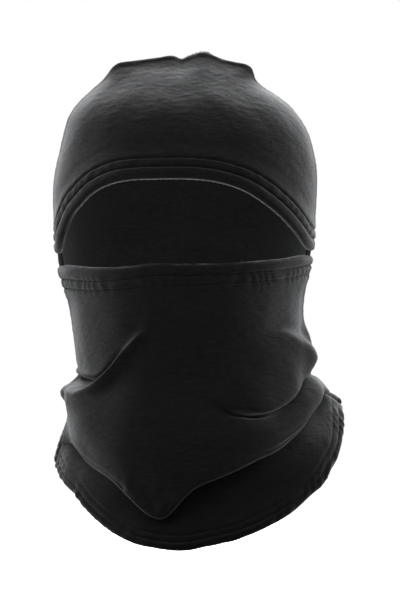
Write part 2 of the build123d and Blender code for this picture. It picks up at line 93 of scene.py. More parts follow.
# w, left p, right p, front q
NECK_FRONT = np.array([
    (-6, -105, 122, -115.5), (2, -103.2, 120.5, -108.5), (12, -100, 118, -98),
    (20, -97.5, 116, -89.5), (26, -94, 114, -83.5), (32, -87, 107.5, -77),
    (38, -79.3, 95, -71.2), (44, -75.2, 86, -65.8), (52, -72, 82.5, -59.5),
    (60, -70, 80.5, -53.2),
], float)
# w, left p, right p, back q
NECK_BACK = np.array([
    (-6, -107, 119, 113), (2, -105, 117, 106.5), (12, -102, 114, 100.5), (20, -98.5, 112, 98.8),
    (26, -96, 109, 98.8), (32, -93.8, 104.5, 100.3), (40, -90, 98.5, 104.5), (46, -86, 93, 108),
    (52, -80.5, 88.5, 111.5), (60, -74, 84, 119.5),
], float)

# ------------------------------------------------------------------ edge curves
# Seen from the front (x, z): brow hem, top of the mask, lower edge of the mask, front neck hem
BROW = np.array([
    (-98, 208.0), (-91.5, 210.0), (-89.3, 216.0), (-87.3, 224.0), (-81.8, 238.0), (-75.0, 247.0),
    (-67.5, 254.8), (-54.5, 262.3), (-38.0, 265.8), (-18.5, 266.6), (-2.7, 266.7), (12.3, 266.0),
    (28.5, 263.5), (45.5, 257.6), (61.0, 247.8), (74.5, 236.0), (84.2, 224.5), (89.5, 217.0),
    (94.0, 213.8), (100.0, 213.0)], float)
MASK_TOP = np.array([
    (-100, 203.8), (-87.7, 203.6), (-69.0, 202.2), (-37.0, 203.4), (-24.0, 205.2), (-2.0, 204.9),
    (30.0, 205.5), (55.0, 207.0), (77.4, 209.0), (88.0, 211.0), (100.0, 211.4)], float)
DRAPE = np.array([
    (-100, 86), (-84, 80), (-78, 73), (-73, 67), (-54, 53.7), (-40, 40.5), (-30, 31.5), (-22, 27),
    (-15, 26.5), (-9, 30.5), (-3, 37), (3, 43), (9, 47.8), (16, 51.3), (26, 55), (41, 61),
    (56, 68), (75, 77), (84, 84.5), (90, 90.6), (96, 99), (100, 105), (104, 111), (109, 116),
    (115, 119.5)], float)
HEM = np.array([
    (-125, 76), (-108, 70), (-93, 60), (-88, 49), (-80, 40), (-72, 29.7), (-60, 18), (-40, 6),
    (-20, 1.3), (0, 0), (20, 3.6), (40, 8.3), (60, 16.7), (80, 28), (95, 41), (100.5, 45.5),
    (108.5, 58.7), (114, 69.6), (117.2, 79), (119.0, 91), (121, 97), (135, 101)], float)
# Back neck hem in neck coordinates (p, w)
HEM_BACK = np.array([
    (-140, 32), (-99.5, 18.5), (-60, 8), (-25, 3), (10, 2), (60, 7), (114, 21.5), (150, 34)], float)

# ------------------------------------------------------------------ mask folds
# Azimuth, then twelve (z, outward push) points from the top down: 1-3 plain cloth, 4-7 the
# swelling above the fold, 8 its crease where the fold is deep, 9-11 the roll below, 12 near
# the lower edge
FOLD_STATIONS = [
    (-90, [(168, 0), (158, 0), (149, 0), (143, 0), (137, 0), (131, 0),
           (127, 0), (122, -1), (117, 0), (110, 0), (101, 0), (91, 0)]),
    (-78, [(168, 0), (158, 0), (149, 0), (142, 0), (136, 0), (131, .5),
           (126, 1.5), (120.3, -15), (115.6, 7.5), (109.5, 9.5), (99, 6.5), (86, 4)]),
    (-66, [(168, 0), (158, 0), (149, 0), (141, 0), (134, 0), (129, .5),
           (123.6, 1.5), (118.4, -15), (113.8, 8), (107, 9.5), (95, 7), (80, 4.5)]),
    (-54, [(168, 0), (158, 0), (149, 0), (141, 0), (134, 0), (128.5, .5),
           (124, 1.2), (120.8, -4.5), (117, 8), (108, 6), (90, 6.5), (71, 4)]),
    (-42, [(168, 0), (160, 0), (153, 0), (147, 0), (142, 0), (137.5, .2),
           (134, -.4), (130.8, -1.8), (125.8, 8.5), (116, 1.8), (88, 5), (62, 4)]),
    (-30, [(170, 0), (164, 0), (160, 0), (157, 0), (154, 0), (151.5, .2),
           (149, .4), (146, 1.6), (140.5, 6.8), (129, 1.2), (88, 3), (50, 4)]),
    (-18, [(174, 0), (172, 0), (170, 0), (168, 0), (166, 0), (164, .2),
           (162, .5), (159, 1.2), (154.5, 2.0), (145, .3), (90, 1.2), (38, 1)]),
    (-6, [(172, 0), (168, 0), (164, 0), (161, 0), (158, 0), (155, 0),
          (152, 0), (149, 0), (145, .1), (136, 0), (85, .5), (36, .5)]),
    (6, [(170, 0), (162, 0), (154, 0), (148, 0), (140, 0), (131, 0),
         (119, .3), (112, .2), (104, .3), (87, .8), (70, 1), (57, 0.8)]),
    (18, [(169, 0), (160, 0), (152, 0), (146, 0), (136, .6), (121, 3.6),
          (106, 4.8), (99.5, -.8), (95, .6), (84, 2.6), (72, 3.4), (64, 3)]),
    (30, [(168, 0), (159, 0), (152, 0), (147, 0), (135, 2), (117, 7),
          (100.5, 8.2), (95.4, -3.4), (92.6, 2), (86, 5.5), (78, 6.5), (72.5, 5.5)]),
    (42, [(168, 0), (159, 0), (153, .3), (148, 1), (136, 4), (115, 9.5),
          (101, 9.5), (96.6, -5.4), (94.2, 3), (88, 8), (83, 9.5), (79.5, 8.5)]),
    (54, [(168, 0), (160, 0), (155.5, 2.4), (150, 4.0), (139, 6), (122, 10.5),
          (109, 9.5), (104.6, -8), (102.2, 4), (97, 9.5), (91.5, 11.3), (88, 10.8)]),
    (66, [(167, 0), (158, .5), (151, 6.5), (146.5, 8.5), (139, 9.2), (128, 8.5),
          (119.5, 6.2), (117.4, -4), (115, 6), (109.5, 12.5), (104, 14.2), (100, 13.5)]),
    (78, [(166, 0), (155, 1), (146, 9.5), (141, 12.5), (136.5, 13), (131, 10.5),
          (126.4, 6.5), (125.2, 0), (123.4, 9), (118, 15.0), (113.5, 16), (110.5, 15)]),
    (90, [(166, 0), (153, 0), (144, 1), (139.5, 3), (135.5, 4), (131, 3),
          (127, 1), (125.2, -1), (123, 2), (119, 4), (116.5, 4.5), (114.5, 4)]),
]
FOLD_AZIMUTHS = np.array([station[0] for station in FOLD_STATIONS], float)
FOLDS = np.array([station[1] for station in FOLD_STATIONS], float)

# ------------------------------------------------------------------ cloth and thread sizes
CLOTH = 3.0               # cloth thickness
TURNED_EXTRA = 2.4        # thickness a turned hem adds
THINNEST = 0.05
EDGE_RADIUS = 2.8
BROW_ROWS = (8.3, 15.2)   # distance of the stitch rows from the edge
NECK_ROWS = (5.2, 10.2)
BROW_TURN = 18.5          # reach of the brow hem's inner layer
ROLL_RADIUS = 4.6         # mask cloth turning under at its lower edge
SEAM_VALLEY = -1.75       # height of thread lying in a seam

# Row distances from an edge and from a seam
EDGE_ROWS = np.concatenate([[0, .15, .4, .8, 1.3, 1.9], np.arange(2.4, 22.2, 0.5)])
SEAM_ROWS = np.array([0, .35, .8, 1.4, 2.1, 3.0, 4.1, 5.4, 7.0, 9.0])
MASK_LOW_ROWS = [0, .15, .4, .8, 1.3, 2, 2.8, 3.8, 5, 6.4, 8, 9.8]
SEAM_DEGREES = np.array([0, .22, .45, .7, 1.0, 1.4, 1.9, 2.6, 3.5])   # columns beside a seam

STITCH_PITCH, STITCH_LENGTH = 3.1, 2.3
STITCH_JITTER = 0.12
THREAD_RADIUS = 0.36
THREAD_SIDES = 6
# Position along a stitch, share of its radius
THREAD_PROFILE = [(-0.5, 0.0), (-0.46, 0.55), (-0.3, 0.95), (0.0, 1.05), (0.3, 0.95),
                  (0.46, 0.55), (0.5, 0.0)]

Panel = namedtuple("Panel", "cloth normal outer hem_distance")


# ------------------------------------------------------------------ maths
def hermite(xs, ys, x):
    """Smooth cubic through the points (xs, ys)."""
    gaps = np.diff(xs)
    rates = np.diff(ys) / gaps
    slopes = np.empty_like(ys)
    slopes[0], slopes[-1] = rates[0], rates[-1]
    slopes[1:-1] = (rates[:-1] * gaps[1:] + rates[1:] * gaps[:-1]) / (gaps[:-1] + gaps[1:])
    i = np.clip(np.searchsorted(xs, x) - 1, 0, len(xs) - 2)
    gap = gaps[i]
    t = (x - xs[i]) / gap
    return ((2 * t**3 - 3 * t**2 + 1) * ys[i] + (t**3 - 2 * t**2 + t) * gap * slopes[i]
            + (-2 * t**3 + 3 * t**2) * ys[i + 1] + (t**3 - t**2) * gap * slopes[i + 1])


def table_at(table, value):
    """Every column of a table at a value of its first column."""
    return [hermite(table[:, 0], table[:, k], value) for k in range(1, table.shape[1])]


def first_above(curve, x, z):
    """Index of the first point (x, z) that lies above a curve."""
    xs = np.linspace(curve[0, 0], curve[-1, 0], 1200)
    limit = np.interp(x, xs, hermite(curve[:, 0], curve[:, 1], xs))
    return int(np.argmax(z > limit))


def smooth(start, end, x):
    """Ease from 0 at start to 1 at end; start may be the larger."""
    t = np.clip((x - start) / (end - start), 0, 1)
    return t * t * (3 - 2 * t)


def bell(x, centre, width):
    return np.exp(-((x - centre) / width) ** 2)


def unit(v):
    return v / np.linalg.norm(v, axis=-1, keepdims=True)


def outward(azimuth):
    return np.array([math.sin(azimuth), -math.cos(azimuth), 0.0])


def arc(points, axis=0):
    """Length run along an axis of a line or grid of points."""
    steps = np.linalg.norm(np.diff(points, axis=axis), axis=-1)
    zero = np.zeros_like(np.take(steps, [0], axis=axis))
    return np.concatenate([zero, np.cumsum(steps, axis=axis)], axis=axis)


def along(lengths, vectors, at):
    return np.stack([np.interp(at, lengths, vectors[:, k]) for k in range(3)], -1)


def resample(points, at):
    return along(arc(points), points, at)


def normals(grid):
    """Outward normals of a grid whose rows go up and columns go round."""
    n = np.cross(np.gradient(grid, axis=1), np.gradient(grid, axis=0))
    return n / np.maximum(np.linalg.norm(n, axis=-1, keepdims=True), 1e-9)


def square_to_seam(normal, azimuths, reach=7.0):
    """Turn normals sideways where a panel meets a side seam, so both sides dive together."""
    s = np.sin(azimuths)
    share = smooth(reach, 0.6, np.degrees(np.arccos(np.clip(np.abs(s), 0, 1))))
    turned = normal * (1 - share)[None, :, None]
    turned[..., 0] += share * np.sign(s)
    return unit(turned)


def distance(grid, *edges, step=0.8, chunk=4000):
    """Distance of every grid point to the nearest of some edge lines."""
    line = np.concatenate([resample(e, np.arange(0, arc(e)[-1] + step, step)) for e in edges])
    flat = grid.reshape(-1, 3)
    out = np.empty(len(flat))
    line_sq = (line**2).sum(1)
    for k in range(0, len(flat), chunk):
        q = flat[k:k + chunk]
        gap_sq = ((q**2).sum(1)[:, None] + line_sq - 2 * q @ line.T).min(1)
        out[k:k + chunk] = np.sqrt(np.maximum(gap_sq, 0))
    return out.reshape(grid.shape[:-1])


# ------------------------------------------------------------------ body surfaces
def section(azimuth, left, right, front, back, x0, y0):
    """Point (x, y) of a superellipse section whose four extents differ, about (x0, y0)."""
    s, c = np.sin(azimuth), np.cos(azimuth)
    power = np.where(c > 0, POWER_FRONT, POWER_BACK)
    rx = np.where(s > 0, right - x0, x0 - left)
    ry = np.where(c > 0, y0 - front, back - y0)
    return (x0 + np.sign(s) * np.abs(s) ** (2 / power) * rx,
            y0 - np.sign(c) * np.abs(c) ** (2 / power) * ry)


def head(azimuth, z):
    left, right, front, back, seam_y = table_at(HEAD, z)
    x, y = section(azimuth, left, right, front, back, 0.0, seam_y)
    return np.stack([x, y, np.broadcast_to(z, x.shape)], -1)


def head_column(azimuth, z_low):
    z = np.concatenate([np.linspace(z_low, Z_FINE, 300)[:-1], np.linspace(Z_FINE, Z_TOP, 500)])
    return head(azimuth, z)


def mask_base(azimuth, z):
    """Unfolded mask; only the front half of the section is used."""
    left, right, front = table_at(MASK, z)
    x, y = section(azimuth, left, right, front, 0.0, 0.0, 0.0)
    return np.stack([x, y, np.broadcast_to(z, x.shape)], -1)


NECK_RIGHT = unit(np.array((1.0, 0.0, LEAN_X)))
NECK_UP = unit(np.array((-LEAN_X, -LEAN_Y, 1.0)))
NECK_REAR = np.cross(NECK_UP, NECK_RIGHT)


def neck(azimuth, w, table):
    """Points of the tilted neck, and their p."""
    left, right, depth = table_at(table, w)
    mid_q = NECK_MID_Q + NECK_MID_Q_RISE * w
    p, q = section(azimuth, left, right, depth, depth, NECK_MID_P, mid_q)
    w = np.broadcast_to(w, p.shape)
    return (NECK_ORIGIN + p[..., None] * NECK_RIGHT + q[..., None] * NECK_REAR
            + w[..., None] * NECK_UP), p


def neck_hem_back(azimuth):
    """Back hem point and the direction the flare runs there."""
    w = np.linspace(-5, 45, 500)
    points, p = neck(azimuth, w, NECK_BACK)
    k = first_above(HEM_BACK, p, w)
    return points[k], unit(points[k] - points[min(k + 60, len(w) - 1)])


def neck_hem_front(azimuth, w_right=26.5):
    """Front hem as w and point; it eases to w_right at the right seam."""
    w = np.linspace(-5.9, 50, 800)
    points, _ = neck(azimuth, w, NECK_FRONT)
    w_hem = w[first_above(HEM, points[:, 0], points[:, 2])]
    w_hem += (w_right - w_hem) * smooth(60, 90, math.degrees(azimuth))
    return w_hem, neck(azimuth, w_hem, NECK_FRONT)[0]


# Seam azimuth, shift that brings the back hem onto the front hem there
SEAM_SHIFTS = [
    (seam, neck_hem_front(math.radians(beside))[1] - neck_hem_back(math.radians(seam))[0])
    for seam, beside in ((90, 89.9), (270, -89.9))]


def bezier(p0, p1, p2, p3, t):
    t = t[:, None]
    return (1 - t)**3 * p0 + 3 * (1 - t)**2 * t * p1 + 3 * (1 - t) * t**2 * p2 + t**3 * p3


def back_meridian(azimuth):
    """Outer surface of the back at one azimuth, hem to crown."""
    degrees = math.degrees(azimuth)
    right, left = smooth(180, 90, degrees), smooth(180, 270, degrees)
    z_nape = 140.0 - 4.0 * right - 16.0 * left
    hem, flare = neck_hem_back(azimuth)
    for seam, shift in SEAM_SHIFTS:
        hem = hem + shift * smooth(32, 0, abs(degrees - seam))
    nape = head(azimuth, z_nape)
    down = unit(nape - head(azimuth, z_nape + 1.0))
    span = np.linalg.norm(hem - nape)
    nape_pull, hem_pull = 0.30 - 0.12 * left, 0.38 + 0.10 * left
    low = bezier(nape, nape + down * span * nape_pull, hem - flare * span * hem_pull, hem,
                 np.linspace(0, 1, 160))[::-1]
    column = np.concatenate([low, head_column(azimuth, z_nape)[1:]])
    # swells and hollows beside the side seams, where the front folds push the cloth out:
    # share of the side, outward, z, width
    for share, swell, z, width in ((left, 9.5, 112.5, 8.0), (left, -2.0, 127.5, 5.0),
                                   (right, 6.0, 150.0, 11.0), (right, -4.5, 115.0, 6.0)):
        push = swell * share**3 * bell(column[:, 2], z, width)
        column = column + outward(azimuth) * push[:, None]
    return column


SIDE_SEAMS = {1: back_meridian(math.radians(90)), -1: back_meridian(math.radians(270))}


def side_at(side, z, axis):
    """x (axis 0) or y (axis 1) of a side seam at height z; side is 1 right, -1 left."""
    return np.interp(z, SIDE_SEAMS[side][:, 2], SIDE_SEAMS[side][:, axis])


def seam_columns(first, last, step=1.15):
    """Azimuths between two seams in degrees, closer together beside each; in radians."""
    low, high = first + SEAM_DEGREES, last - SEAM_DEGREES[::-1]
    count = int((high[0] - low[-1]) / step) + 1
    middle = np.linspace(low[-1], high[0], count)[1:-1]
    return np.radians(np.concatenate([low, middle, high]))


def edge_to_seam(column, count):
    """Rows from a hemmed edge up to a seam."""
    length = arc(column)[-1]
    middle = np.linspace(EDGE_ROWS[-1], length - SEAM_ROWS[-1], count + 2)[1:-1]
    return resample(column, np.concatenate([EDGE_ROWS, middle, length - SEAM_ROWS[::-1]]))


def crown_shape(grid):
    """Add the hump, notch and corner ears of the crown seam."""
    x, near = grid[..., 0], smooth(318, 357, grid[..., 2])
    grid = grid.copy()
    # height, x, width, power that gathers it toward the top
    for height, at, width, power in ((4.3, 14.5, 10.5, 2), (-1.6, -1.0, 2.6, 5),
                                     (1.2, -10.0, 6.0, 2), (1.5, -50.0, 7.0, 2),
                                     (1.2, 47.0, 6.0, 2)):
        grid[..., 2] += height * bell(x, at, width) * near**power
    return grid


# ------------------------------------------------------------------ cloth relief
class Noise:
    """Band-limited noise from seeded waves; a stretch above 1 squeezes it along that axis."""

    def __init__(self, wavelength, seed, waves=28, stretch=(1, 1, 1)):
        rng = np.random.default_rng(seed)
        directions = unit(rng.normal(size=(waves, 3)))
        pitch = wavelength * rng.uniform(0.7, 1.5, waves)
        self.vectors = directions * (2 * np.pi / pitch)[:, None] * np.array(stretch, float)
        self.phases = rng.uniform(0, 2 * np.pi, waves)

    def __call__(self, points):
        flat = points.reshape(-1, 3)
        out = np.zeros(len(flat))
        for vector, phase in zip(self.vectors, self.phases):
            out += np.sin(flat @ vector + phase)
        return (out / math.sqrt(len(self.phases) / 2)).reshape(points.shape[:-1])


lumps = Noise(wavelength=34, seed=11)
ripple = Noise(wavelength=13, seed=12)
streak = Noise(wavelength=11, seed=13, waves=36, stretch=(1, 1, 4.5))
fuzz = Noise(wavelength=4.2, seed=14, waves=36, stretch=(1, 1, 2.0))


def nap(points):
    """Unevenness of napped fleece, a fraction of a millimetre."""
    return (0.17 * lumps(points) + 0.03 * ripple(points) + 0.05 * streak(points)
            + 0.04 * fuzz(points))


def wave_round(grid, wavelength, drift):
    """Wave running round a panel, its phase drifting with the lumps."""
    return np.sin(arc(grid, 1) * 2 * np.pi / wavelength + drift * lumps(grid))


def rounding(d, radius):
    """How far a face has dropped at distance d from an edge."""
    t = np.clip(radius - d, 0, radius)
    return radius - np.sqrt(np.maximum(radius * radius - t * t, 0))


def hem_relief(d, rows, puff=1.0):
    """Outward relief of a turned hem: swollen between its stitch rows, pinched at each."""
    row_1, row_2 = rows
    middle = np.clip((d - row_1) / (row_2 - row_1), 0, 1)
    out = 1.2 * (1 - smooth(row_2 + 1.0, row_2 + 13.0, d))
    out += puff * 1.5 * np.clip(np.sin(np.pi * np.clip(d / row_1, 0, 1)), 0, 1) ** 0.6
    out += puff * 0.7 * np.clip(np.sin(np.pi * middle), 0, 1) ** 0.7
    out += puff * 0.25 * bell(d, row_2 + 2.6, 1.9)
    for row in rows:
        out -= 0.85 * bell(d, row, 0.85)
    return out


def seam_relief(d):
    """Two cloths dive into a sewn seam: a rounded valley with full shoulders."""
    return -2.3 * np.exp(-(d / 2.0) ** 1.5) + 0.75 * bell(d, 5.0, 2.8)


def layers(cloth, normal, relief, thickness, edge, inner_nap=0.3):
    """Outer and inner faces; edge is the drop that rounds both at a free edge."""
    inner = np.minimum(inner_nap * nap(cloth) - thickness + edge, relief - edge - THINNEST)
    return cloth + normal * (relief - edge)[..., None], cloth + normal * inner[..., None]


def neck_hem_layers(cloth, normal, d_hem, d_seam, wavelength, ruffle_height):
    """Faces of a panel that ends in the ruffled neck hem."""
    ruffle = wave_round(cloth, wavelength, 1.8) * np.exp(-(d_hem / 8.0) ** 1.5)
    ruffle *= 0.6 + 0.4 * lumps(cloth + 31.0)
    hem = 0.55 * hem_relief(d_hem, NECK_ROWS, 0.9) * (0.3 + 0.7 * smooth(0, 8, d_seam))
    relief = nap(cloth) + hem + seam_relief(d_seam) + ruffle_height * ruffle
    thickness = CLOTH + TURNED_EXTRA * (1 - smooth(12, 13.5, d_hem))
    return layers(cloth, normal, relief, thickness, rounding(d_hem, EDGE_RADIUS))


# ------------------------------------------------------------------ meshes
MATERIALS = {}


def build(name, verts, faces, slot, replaced, body="hood"):
    mesh = bpy.data.meshes.new(name)
    mesh.from_pydata((np.asarray(verts) * MM).tolist(), [], faces)
    mesh.validate()
    mesh.polygons.foreach_set("use_smooth", [True] * len(mesh.polygons))
    mesh.update()
    ob = bpy.data.objects.new(name, mesh)
    bpy.context.scene.collection.objects.link(ob)
    mesh.materials.append(MATERIALS[slot])
    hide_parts(replaced)
    if body == "mask":
        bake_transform(ob)
    else:
        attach(ob, body)


def grid_faces(rows, cols):
    i, j = np.meshgrid(np.arange(rows - 1), np.arange(cols - 1), indexing="ij")
    a = i * cols + j
    return np.stack([a, a + 1, a + cols + 1, a + cols], -1).reshape(-1, 4)


def shell(outer, inner):
    """Closed shell from two grids of the same shape."""
    rows, cols = outer.shape[:2]
    n = rows * cols
    verts = np.concatenate([outer.reshape(-1, 3), inner.reshape(-1, 3)])
    sheet = grid_faces(rows, cols)
    faces = [sheet, (sheet + n)[:, ::-1]]
    low = np.arange(cols)
    high = (rows - 1) * cols + low
    left = np.arange(rows) * cols
    right = left + cols - 1
    for line, turn in ((low, True), (high, False), (left, False), (right, True)):
        a, b = line[:-1], line[1:]
        rim = np.stack([a, b, b + n, a + n], -1)
        faces.append(rim[:, ::-1] if turn else rim)
    return verts, np.concatenate(faces).tolist()


# ------------------------------------------------------------------ threads
def row_path(grid, normal, d, value):
    """Points and normals where d first passes value going up each column, ends dropped."""
    points, ups = [], []
    for j in range(grid.shape[1]):
        column = d[:, j]
        k = int(np.argmax(column >= value))
        if k == 0:      # this column never crosses the value
            continue
        t = (value - column[k - 1]) / max(column[k] - column[k - 1], 1e-9)
        points.append(grid[k - 1, j] * (1 - t) + grid[k, j] * t)
        ups.append(normal[k - 1, j] * (1 - t) + normal[k, j] * t)
    return np.array(points)[1:-1], np.array(ups)[1:-1]


def panel_row(panel, value):
    return row_path(panel.outer, panel.normal, panel.hem_distance, value)


def dashes(paths, pitch=STITCH_PITCH, length=STITCH_LENGTH, radius=THREAD_RADIUS):
    """Stitches (start, end, up, radius) along paths of (points, ups)."""
    out = []
    for points, ups in paths:
        run = arc(points)
        count = int(run[-1] / pitch)
        for k in range(count):
            start = (k + 0.5) * run[-1] / count - length / 2
            # two values are drawn for each stitch; only the first moves it
            slide = RNG.normal(0, STITCH_JITTER, 2)[0]
            out.append((along(run, points, start + slide),
                        along(run, points, start + length + slide),
                        along(run, ups, start + length / 2), radius))
    return out


def rungs(path_a, path_b):
    """Slanting stitches from one row across to another."""
    (a, ups), (b, _) = path_a, path_b
    run_a, run_b = arc(a), arc(b)
    count = int(run_a[-1] / STITCH_PITCH)
    out = []
    for k in range(count):
        t = (k + 0.5) / count
        at = t * run_a[-1]
        end = along(run_b, b, min(1, t + 0.35 / count) * run_b[-1])
        out.append((along(run_a, a, at), end, along(run_a, ups, at), THREAD_RADIUS * 0.8))
    return out


def build_thread(name, stitches, replaced, body="hood"):
    """One mesh of separate short stitches, each a rounded thread bowed down at its ends."""
    verts, faces = [], []
    rings = len(THREAD_PROFILE) - 2
    for start, end, up, radius in stitches:
        length = np.linalg.norm(end - start)
        if length < 0.2:      # too short to show
            continue
        axis = (end - start) / length
        side = unit(np.cross(axis, unit(up)))
        up = np.cross(side, axis)
        base = len(verts)
        for t, share in THREAD_PROFILE:
            centre = (start + end) / 2 + axis * (t * length)
            centre = centre - up * (0.45 * radius * (2 * abs(t)) ** 2)
            if share == 0.0:
                verts.append(centre)
                continue
            for m in range(THREAD_SIDES):
                turn = 2 * math.pi * m / THREAD_SIDES
                spoke = side * math.cos(turn) + up * math.sin(turn)
                verts.append(centre + spoke * radius * share)
        first = base + 1
        last = first + (rings - 1) * THREAD_SIDES
        tip = last + THREAD_SIDES
        for m in range(THREAD_SIDES):
            after = (m + 1) % THREAD_SIDES
            faces.append([base, first + after, first + m])
            for ring in range(first, last, THREAD_SIDES):
                above = ring + THREAD_SIDES
                faces.append([ring + m, ring + after, above + after, above + m])
            faces.append([last + m, last + after, tip])
    build(name, verts, faces, "thread", replaced, body)


# ------------------------------------------------------------------ shader helpers
def feed(tree, node, inputs):
    """Link or set each named or numbered input of a node."""
    for key, value in inputs.items():
        if isinstance(value, bpy.types.NodeSocket):
            tree.links.new(value, node.inputs[key])
        else:
            node.inputs[key].default_value = value


def add_node(tree, kind, inputs=None, **settings):
    node = tree.nodes.new("ShaderNode" + kind)
    for key, value in settings.items():
        setattr(node, key, value)
    feed(tree, node, inputs or {})
    return node


def add_math(tree, operation, a, b):
    return add_node(tree, "Math", {0: a, 1: b}, operation=operation).outputs[0]


def add_ramp(tree, factor, base, dark, light, positions=(0.0, 1.0)):
    """Ramp between two multiples of a base colour."""
    node = add_node(tree, "ValToRGB", {0: factor})
    for element, position, gain in zip(node.color_ramp.elements, positions, (dark, light)):
        element.position = position
        element.color = (*(c * gain for c in base), 1)
    return node.outputs[0]


def new_material(name):
    material = bpy.data.materials.new(name)
    material.use_nodes = True
    return material


# ------------------------------------------------------------------ materials
FLEECE = (0.0098, 0.0098, 0.0102)
# painted shade: the neck front lies in shadow under the mask, so its copy of the fleece colour is
# made darker by this factor
NECK_PAINTED_SHADE = 0.62        # the neck front is this much darker


def fleece(name, base, seed):
    """Brushed fleece: sideways nap, tufts and fibres under a soft sheen."""
    MATERIALS[name] = new_material(name)
    tree = MATERIALS[name].node_tree
    tree.nodes.clear()
    out = add_node(tree, "OutputMaterial")
    bsdf = add_node(tree, "BsdfPrincipled")
    tree.links.new(bsdf.outputs[0], out.inputs[0])
    coord = add_node(tree, "TexCoord").outputs["Object"]

    def noise(scale, shift, detail, roughness, distortion):
        place = add_node(tree, "Mapping", {
            0: coord, "Scale": scale, "Location": (shift, seed * 0.37, 0.0)})
        return add_node(tree, "TexNoise", {
            "Scale": 1.0, "Detail": detail, "Roughness": roughness, "Distortion": distortion,
            "Vector": place.outputs[0]}).outputs["Fac"]

    def map_to(value, low, high):
        node = add_node(tree, "MapRange", {"To Min": low, "To Max": high, "Value": value})
        return node.outputs[0]

    def blend(first, first_share, second, second_share, third, third_share):
        head_part = add_math(tree, "MULTIPLY", first, first_share)
        middle = add_math(tree, "MULTIPLY", second, second_share)
        rest = add_math(tree, "ADD", middle, add_math(tree, "MULTIPLY", third, third_share))
        return add_math(tree, "ADD", head_part, rest)

    # brushed nap lying sideways, fibre tufts, single fibres, wear and handling
    streaks = noise((170, 170, 620), shift=0.0, detail=3.0, roughness=0.6, distortion=0.4)
    clumps = noise((420, 420, 900), shift=1.7, detail=4.0, roughness=0.65, distortion=0.6)
    fibres = noise((1500, 1500, 2600), shift=3.1, detail=3.0, roughness=0.7, distortion=0.2)
    cloud = noise((22, 22, 30), shift=5.3, detail=3.0, roughness=0.5, distortion=0.3)

    tone = blend(streaks, 0.5, clumps, 0.3, cloud, 0.2)
    feed(tree, bsdf, {
        "Base Color": add_ramp(tree, tone, base, dark=0.45, light=1.75, positions=(0.28, 0.74)),
        "Roughness": map_to(clumps, 0.86, 1.0),
        "Specular IOR Level": 0.12,
        "Sheen Weight": map_to(tone, 0.16, 0.44),
        "Sheen Roughness": 0.42,
        "Sheen Tint": (0.95, 0.97, 1.0, 1)})
    height = blend(streaks, 0.55, clumps, 0.45, fibres, 0.25)
    bump = add_node(tree, "Bump", {"Strength": 0.3, "Distance": 0.0012, "Height": height})
    feed(tree, bsdf, {"Normal": bump.outputs[0]})


def woven(name, base, scale, sheen, bump_depth=0.0003, rotation=(0, 0, 0)):
    """Crossed bands of yarn."""
    MATERIALS[name] = new_material(name)
    tree = MATERIALS[name].node_tree
    coord = add_node(tree, "TexCoord").outputs["Object"]
    place = add_node(tree, "Mapping", {"Rotation": rotation, 0: coord})
    waves = [add_node(tree, "TexWave", {
        "Scale": scale, "Distortion": 0.6, "Detail": 2.0, "Vector": place.outputs[0],
    }, bands_direction=axis).outputs["Fac"] for axis in ("X", "Z")]
    weave = add_math(tree, "MULTIPLY", *waves)
    color = add_ramp(tree, weave, base, dark=0.5, light=1.5)
    bump = add_node(tree, "Bump", {"Strength": 0.6, "Distance": bump_depth, "Height": weave})
    feed(tree, tree.nodes["Principled BSDF"], {
        "Base Color": color, "Normal": bump.outputs[0], "Roughness": 0.62,
        "Sheen Weight": sheen, "Specular IOR Level": 0.15})


def make_materials():
    fleece("fleece_hood", FLEECE, seed=1)
    # painted shade: a darker copy of the same fleece for the neck front, standing in for the shadow
    # under the mask
    fleece("fleece_neck", tuple(c * NECK_PAINTED_SHADE for c in FLEECE), seed=2)
    fleece("fleece_mask", FLEECE, seed=3)
    woven("thread", (0.006, 0.006, 0.0065), scale=1400, sheen=0.05, bump_depth=0.0002,
          rotation=(0.3, 0.5, 0.8))
    woven("elastic", (0.02, 0.02, 0.021), scale=900, sheen=0.2)
    woven("label", (0.2, 0.2, 0.195), scale=1600, sheen=0.3, bump_depth=0.0001)


# ------------------------------------------------------------------ hood
def hood_front():
    """Front of the hood, from the brow hem to the crown seam."""
    columns = []
    for azimuth in seam_columns(-90, 90):
        z = np.linspace(200, 275, 900)
        z_brow = z[first_above(BROW, head(azimuth, z)[:, 0], z)]
        columns.append(edge_to_seam(head_column(azimuth, z_brow), 74))
    cloth = crown_shape(np.stack(columns, 1))
    normal = normals(cloth)
    d_brow = distance(cloth, cloth[0])
    d_crown = distance(cloth, cloth[:, 0], cloth[-1], cloth[:, -1])
    relief = nap(cloth) + hem_relief(d_brow, BROW_ROWS) * (0.25 + 0.75 * smooth(0, 9, d_crown))
    relief += seam_relief(d_crown) + 0.28 * wave_round(cloth, 10.5, 2.0) * bell(d_brow, 11.5, 6.0)
    # the turned hem thins and sharpens toward the eye opening's corners
    corner = smooth(46, 84, np.abs(cloth[..., 0] - 1))
    turned = 1 - smooth(BROW_TURN - 0.8, BROW_TURN + 0.8, d_brow)
    thickness = CLOTH + (2.6 - 2.2 * corner) * turned
    outer, inner = layers(cloth, normal, relief, thickness, rounding(d_brow, 2.9 - 1.3 * corner))
    build("hood_front_cloth", *shell(outer, inner), "fleece_hood", "hood_front_panel")
    panel = Panel(cloth, normal, outer, d_brow)
    for label, row in zip(("brow_hem_stitch_inner", "brow_hem_stitch_outer"), BROW_ROWS):
        build_thread(label + "_thread", dashes([panel_row(panel, row)]), label)
    return panel


